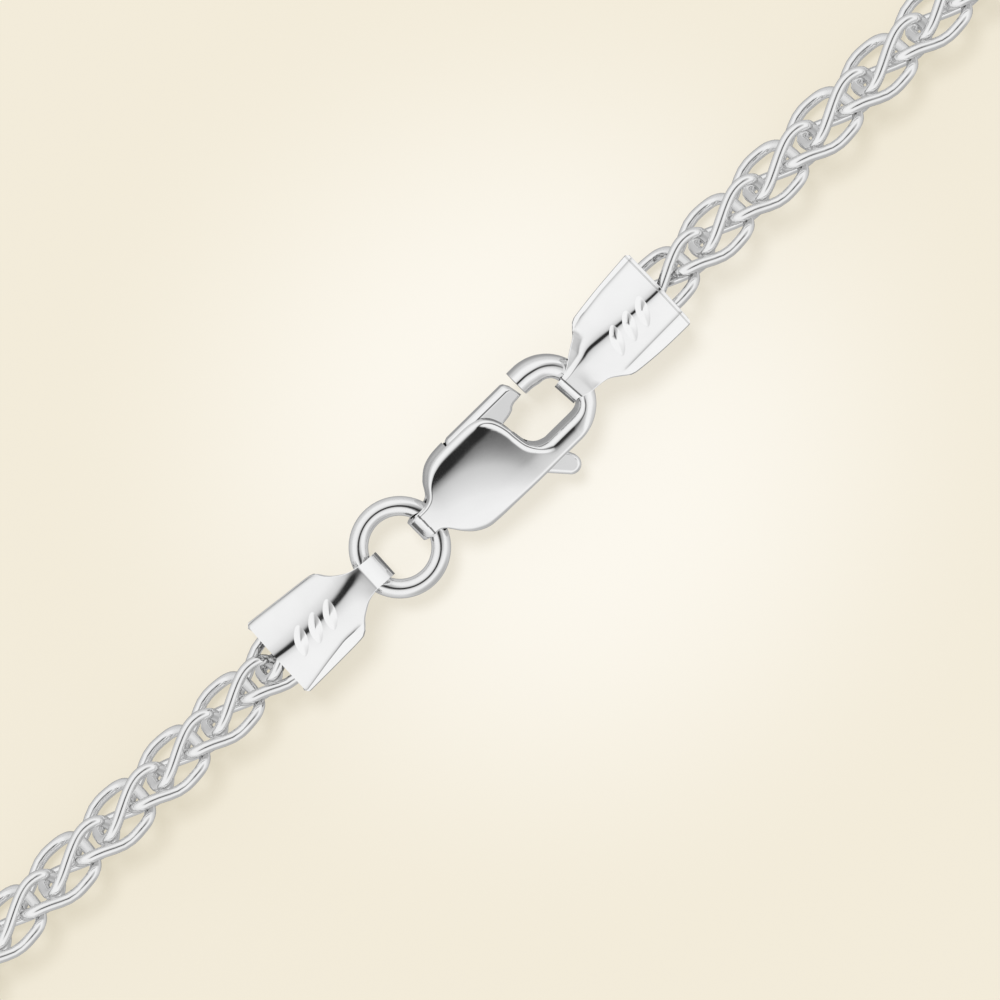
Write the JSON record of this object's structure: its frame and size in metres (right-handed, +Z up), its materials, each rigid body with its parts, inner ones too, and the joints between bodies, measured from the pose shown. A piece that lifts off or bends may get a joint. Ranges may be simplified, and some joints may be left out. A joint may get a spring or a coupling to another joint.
{
  "type": "chain necklace",
  "caption": "Polished white metal wheat chain necklace laid flat as a closed loop, with folded end caps, a jump ring and a sprung lobster clasp.",
  "frame": {"origin": "middle of the overall outline in plan, on the surface that the necklace lies on", "axes": "+X along the front stretch from the jump ring to the clasp, +Y from the clasp across the neck hollow, +Z up from the surface"},
  "size_m": [0.1775, 0.0998, 0.0038],
  "materials": {
    "white_gold": "mirror polished white gold"
  },
  "bodies": {
    "necklace": {"chain_links": "white_gold", "chain_run": "white_gold", "ring_end_cap": "white_gold", "clasp_end_cap": "white_gold", "jump_ring": "white_gold", "clasp_body": "white_gold", "clasp_pin": "white_gold"},
    "lever": {"clasp_lever": "white_gold"}
  },
  "joints": [
    {"name": "lever_hinge", "type": "hinge", "parent": "necklace", "child": "lever", "pos_m": [0.00041, -0.0459, 0.00192], "axis": [0, 0.1392, -0.9903], "range_deg": [0, 30], "stiffness_Nm_per_rad": 0.005, "springref_deg": -8.59}
  ]
}
